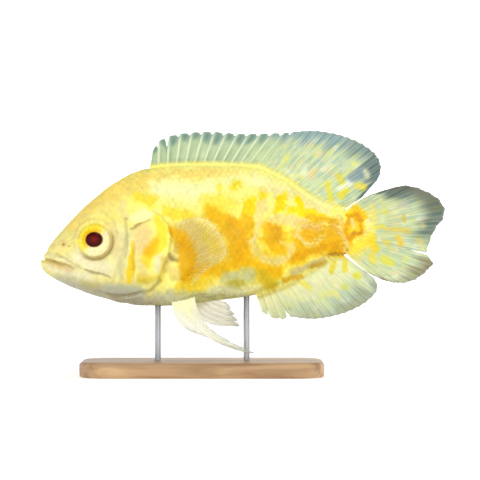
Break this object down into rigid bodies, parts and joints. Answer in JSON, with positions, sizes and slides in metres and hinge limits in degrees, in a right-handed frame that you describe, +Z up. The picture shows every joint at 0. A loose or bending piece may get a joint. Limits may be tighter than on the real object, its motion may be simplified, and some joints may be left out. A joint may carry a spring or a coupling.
{
  "type": "oscar fish display model",
  "caption": "Life-size still model of a young yellow oscar, a cichlid kept in aquariums, swimming level on a plain display stand.",
  "frame": {"origin": "bottom centre of the bounding box: on the underside of the display base, below the middle of the fish's length", "axes": "+X from the fish's snout to its tail, +Y towards the fish's right side, +Z up"},
  "size_m": [0.1606, 0.052, 0.0974],
  "materials": {
    "skin": "moist fish skin, pale yellow with golden orange marbling",
    "fin": "thin fin membrane over raised rays, pale green with yellow spots and grey edges",
    "eye": "wet and glossy, gold and cream iris round a dark red pupil",
    "stand_wood": "satin",
    "stand_steel": "brushed"
  },
  "bodies": {
    "root": {"head": "skin", "lower_jaw": "skin", "gill_cover_left": "skin", "gill_cover_right": "skin", "trunk": "skin", "tail_stem": "skin", "dorsal_fin": "fin", "anal_fin": "fin", "tail_fin": "fin", "pectoral_fin_left": "fin", "pectoral_fin_right": "fin", "pelvic_fin_left": "fin", "pelvic_fin_right": "fin", "eye_left": "eye", "eye_right": "eye", "stand_base": "stand_wood", "stand_rod_front": "stand_steel", "stand_rod_rear": "stand_steel"}
  },
  "joints": []
}
